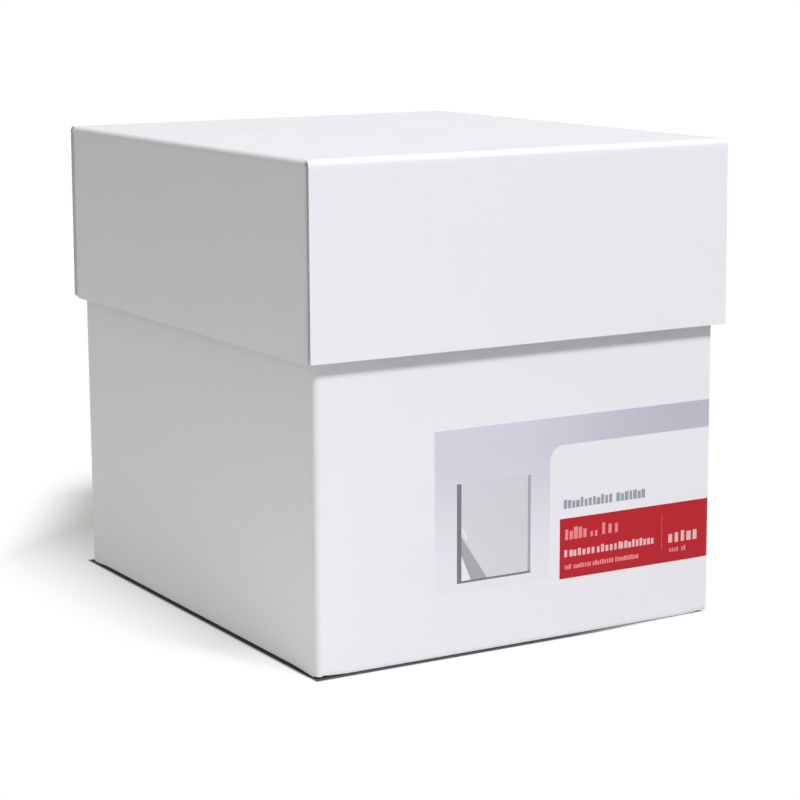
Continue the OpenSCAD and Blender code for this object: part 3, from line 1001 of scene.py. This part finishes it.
# %% The block and its folds
RIDGE, GROOVE, ROUNDED, WANDER = 2.0 * MM, 0.7 * MM, 0.12 * MM, 0.25 * MM
count = round((FORM_TOP - FORM_LOW) / RIDGE)
outline = []
for s in (-1, 1):
    side = []
    for i in range(count):
        shift = WANDER * (1 + math.sin(i * 2.1 + s) * math.cos(i * 0.7))
        for share, depth in ((0.0, GROOVE), (0.12, ROUNDED), (0.5, 0.0), (0.88, ROUNDED)):
            side.append((s * (FORM_Y - depth - shift), FORM_LOW + (i + share) * RIDGE))
    side.append((s * (FORM_Y - GROOVE), FORM_TOP))
    outline += side if s == -1 else side[::-1]
points = [(x, y, z) for x in (-FORM_X, FORM_X) for y, z in outline]
total = len(outline)
faces = [list(range(total)), list(range(2 * total - 1, total - 1, -1))]
faces += [[k, total + k, total + (k + 1) % total, (k + 1) % total] for k in range(total)]
block = new_piece("form_web", points, (), faces)
faces_out(block.data)
block.data.materials.append(PAPER)
punch_holes(block)
print("form_web faces:", len(block.data.polygons), "folds at each end:", count)

# %% [markdown]
# The first form lies a little loose on the block: its free front edge lifts, as
# the last fold springs back. It is part of the same web, so it joins the block
# at the back fold. Its feed holes are cut by the same pins.

# %% The first form
LIFT, FORM_THICK, CLEAR = 2.6 * MM, 0.14 * MM, 0.02 * MM
LOOSE_FROM, MIDDLE_SHARE = 0.25, 0.45
FORM_CELL = 10 * MM
top_sheet = Sheet()


def first_form(x, y):
    """The loose form's place: flat at its back fold, lifted towards its front corners."""
    ahead = max(0.0, (LOOSE_FROM * FORM_Y - y) / ((1 + LOOSE_FROM) * FORM_Y))
    lift = LIFT * ahead ** 2 * (MIDDLE_SHARE + (1 - MIDDLE_SHARE) * (x / FORM_X) ** 2)
    return (x, y, FORM_TOP + FORM_THICK + CLEAR + lift), (0, 0, -1), FORM_THICK, y


top_sheet.patch(spread(-FORM_X, FORM_X, FORM_CELL),
                spread(-FORM_Y + 0.4 * MM, FORM_Y - MM, FORM_CELL), first_form)
points, faces, ribs = [], [], []
shell(top_sheet, [cell for cell, _ in top_sheet.cells], lambda t: 0.0, lambda t: t,
      lambda p: p, points, faces, ribs)
form = mesh_piece("first_form", points, faces, [PAPER])
punch_holes(form)
bpy.data.objects.remove(pins)
print("first_form faces:", len(form.data.polygons), "top, mm:",
      round(max(v.co.z for v in form.data.vertices) / MM, 1))

# %% [markdown]
# ## Which body each piece follows
# The lid's pieces ride on the lid, and everything else rides on the carton, so
# lifting the lid shows the forms. Each piece names the CAD nodes that it stands
# for, and the finish slot of the record that it takes.

# %% Ride and replace
for piece, body, slot, nodes in (
        (lid_piece, "lid", "board", ["carton_lid"]),
        (lid_flutes, "lid", "board", []),
        (base_piece, "carton", "board", ["carton_base"]),
        (base_flutes, "carton", "board", []),
        (block, "carton", "forms", ["form_stack"]),
        (form, "carton", "forms", []),
        (grey_piece, "carton", "ink_grey", ["grey_field"]),
        (red_piece, "carton", "ink_red", ["red_band"]),
        (bold_print, "carton", "ink_red", []),
        (large_print, "carton", "ink_red", []),
        (faint_print, "carton", "ink_red", []),
        (divider, "carton", "ink_red", []),
        (title, "carton", "ink_title", ["title_bars"]),
        (sheet_piece, "carton", "ink_sheet", ["picture_sheet"]),
        (shade_piece, "carton", "ink_shade", ["picture_shade"])):
    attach(piece, body)
    if nodes:
        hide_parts(*nodes)

# %% [markdown]
# ## Floor, light and camera
# The photograph is a plain product shot: a white floor that runs out of view, a
# soft box high in front, a little to the right, that leaves a short crisp shadow
# under the lid's rim, and soft light from everywhere else. The camera looks down
# by about ten degrees from the front left, through a long lens.
#
# The camera sees real shade on the floor close to the carton, with a thin line of
# painted contact shadow where the carton stands, and plain white beyond. Light
# that bounces meets another floor: greys that set how much of it comes back onto
# the walls, and a glowing strip on the left that works as a bounce card. The
# places of all these are in metres from the carton's middle.

# %% Floor
def grey(level):
    return level, level, level


def plain_white(g, x, y, gap, far):
    """Where the camera sees plain white: in front, beside the carton and far off."""
    beside = g.math("MAXIMUM", x.size() - BASE_X, y * -1 - BASE_Y) + g.step(y, -0.05, -0.15) * 0.045
    plain = g.math("MAXIMUM", g.step(beside, -0.05, 0.072), g.step(far, 0.4, 1.0))
    plain = g.math("MAXIMUM", plain, g.step(x * 0.86 - y * 0.5, -0.19, -0.25))
    eased = gap + g.step(x, 0.03, 0.12) * g.step(y, -0.12, -0.14) * 0.005
    return plain * g.step(eased, 0.0007, 0.0036)


def painted_contact_shadow(g, x, gap):
    """White paint with a painted contact shadow: a dark line about 3 mm wide round the carton, weaker
    to the right.
    """
    # painted contact shadow: dark where the gap to the walls is under about 3 mm
    line = g.mix(g.step(gap, 0.0005, 0.0032), (0.09, 0.09, 0.094), grey(1.0))
    return g.mix(g.step(x, 0.02, 0.13) * 0.85, line, grey(1.0))


def bounce_greys(g, x, far):
    """What bounced light meets: grey in front, paler close by on the left, darker far off."""
    front = g.mix(g.step(x, -0.2, 0.25), grey(0.62), grey(0.48))
    left = g.mix(g.step(x, -0.30, -0.55), (0.95, 0.93, 0.91), grey(0.35))
    table = g.mix(g.step(x, -0.12, -0.18), front, left)
    return g.mix(g.step(far, 0.6, 1.4), table, grey(0.40))


def floor_finish():
    """The floor's material: one look for the camera, another for bounced light."""
    material = bpy.data.materials.new("white_floor")
    material.use_nodes = True
    material.node_tree.nodes.clear()
    g = Graph(material.node_tree)
    spot = g.place()
    x, y, _ = g.axes(spot)
    far = g.add("ShaderNodeVectorMath", {"operation": "LENGTH"}, {0: spot}, out=1)
    gap = g.math("MAXIMUM", x.size() - BASE_X, y.size() - BASE_Y - 1.5 * MM)
    seen = g.add("ShaderNodeLightPath")
    card = g.step(x, -0.34, -0.2) * g.step(x, -0.12, -0.135) * 0.4 * (1 - seen)
    # bounce greys for other rays; for the camera, white with the painted contact shadow
    paint = g.mix(seen, bounce_greys(g, x, far), painted_contact_shadow(g, x, gap))
    matt = g.add("ShaderNodeBsdfDiffuse", None, {"Color": paint})
    glow = g.add("ShaderNodeEmission", None,
                 {"Color": g.mix(seen, (1.0, 0.97, 0.94), grey(1.0)), "Strength": 1.0})
    mixed = g.add("ShaderNodeMixShader", None,
                  {0: plain_white(g, x, y, gap, far) * seen + card, 1: matt, 2: glow})
    g.join(g.tree.nodes.new("ShaderNodeOutputMaterial"), {"Surface": mixed})
    return material


half, under = 8.0, -0.05 * MM
floor = new_piece("floor", [(half * sx, half * sy, under) for sx, sy in (
    (-1, -1), (1, -1), (1, 1), (-1, 1))], (), [(0, 1, 2, 3)])
floor.data.materials.append(floor_finish())
print("floor:", 2 * half, "m square")

# %% World and lamp
def studio_world():
    """Soft light, stronger from above, behind and the left, and plain white for the camera."""
    world = bpy.data.worlds.new("studio")
    world.use_nodes = True
    world.node_tree.nodes.clear()
    g = Graph(world.node_tree)
    x, y, z = g.axes(g.place("Generated"))
    strength = g.step(z, 0.0, 1.0, 0.35, 0.49) * (1 + y * 0.35 - x * 0.15)
    soft = g.add("ShaderNodeBackground", None,
                 {"Color": (1.0, 0.995, 0.955, 1), "Strength": strength})
    white = g.add("ShaderNodeBackground", None, {"Color": (1, 1, 1, 1), "Strength": 1.0})
    seen = g.add("ShaderNodeLightPath")
    sky = g.add("ShaderNodeMixShader", None, {0: seen, 1: soft, 2: white})
    g.join(g.tree.nodes.new("ShaderNodeOutputWorld"), {"Surface": sky})
    return world


def soft_box(name, place, target, size, power, colour):
    """A square lamp at place, turned to face target."""
    data = bpy.data.lights.new(name, "AREA")
    data.shape, data.size, data.energy, data.color = "SQUARE", size, power, colour
    lamp = bpy.data.objects.new(name, data)
    lamp.location = place
    lamp.rotation_euler = (target - place).to_track_quat("-Z", "Y").to_euler()
    bpy.context.scene.collection.objects.link(lamp)


KEY_AT, KEY_AIM = Vector((1.86, -4.74, 6.43)), Vector((0, 0, 0.15))
KEY_SIZE, KEY_WATTS = 1.5, 545
bpy.context.scene.world = studio_world()
soft_box("key_soft_box", KEY_AT, KEY_AIM, KEY_SIZE, KEY_WATTS, (0.98, 0.985, 1.035))
print("key lamp at", [round(c, 2) for c in KEY_AT], "m")

# %% Camera
CAM_AT = Vector((-0.68328, -1.1837, 0.36363))
CAM_LOOK = Vector((0.49674, 0.8487, -0.18156)).normalized()
CAM_RIGHT = Vector((0.8625, -0.50603, -0.00567)).normalized()
CAM_UP = CAM_RIGHT.cross(CAM_LOOK).normalized()
SENSOR, LENS = 36, 107.03
camera_data = bpy.data.cameras.new("camera")
camera_data.sensor_width, camera_data.lens, camera_data.clip_end = SENSOR, LENS, 100
camera = bpy.data.objects.new("camera", camera_data)
bpy.context.scene.collection.objects.link(camera)
turn = Matrix((CAM_RIGHT, CAM_UP, -CAM_LOOK)).transposed().to_4x4()
camera.matrix_world = Matrix.Translation(CAM_AT) @ turn
bpy.context.scene.camera = camera
bpy.context.scene.view_settings.view_transform = "Standard"
print("camera:", [round(c, 3) for c in camera.location], "lens", LENS)
